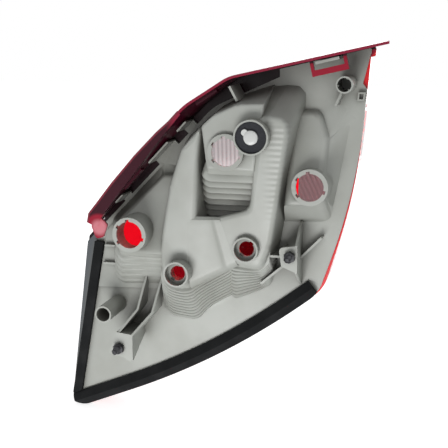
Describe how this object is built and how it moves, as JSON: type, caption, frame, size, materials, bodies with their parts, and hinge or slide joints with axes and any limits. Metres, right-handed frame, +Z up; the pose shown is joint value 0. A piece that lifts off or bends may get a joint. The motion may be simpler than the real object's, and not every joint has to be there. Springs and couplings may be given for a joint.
{
  "type": "tail light cluster",
  "caption": "Vehicle tail light cluster: grey ribbed reflector housing with bulb sockets and brackets behind a domed red lens with a skirt, clear windows, foam gaskets and studs.",
  "frame": {"origin": "on the axis of the inner stud, where its thread starts at the collar's outer face", "axes": "+Z up as fitted, +X to the right as seen from inside the vehicle, -Y along the studs towards the vehicle"},
  "size_m": [0.3322, 0.12, 0.3877],
  "materials": {
    "housing": "moulded, satin",
    "red_lens": "polished, clear red",
    "clear_window": "polished, clear",
    "foam": "closed-cell foam",
    "stud": "black oxide"
  },
  "bodies": {
    "root": {"housing": "housing", "outer_lens": "red_lens", "indicator_window": "clear_window", "reverse_window": "clear_window", "side_gasket": "foam", "lower_gasket": "foam", "vent_foam": "foam", "lower_stud": "stud", "inner_stud": "stud"}
  },
  "joints": []
}
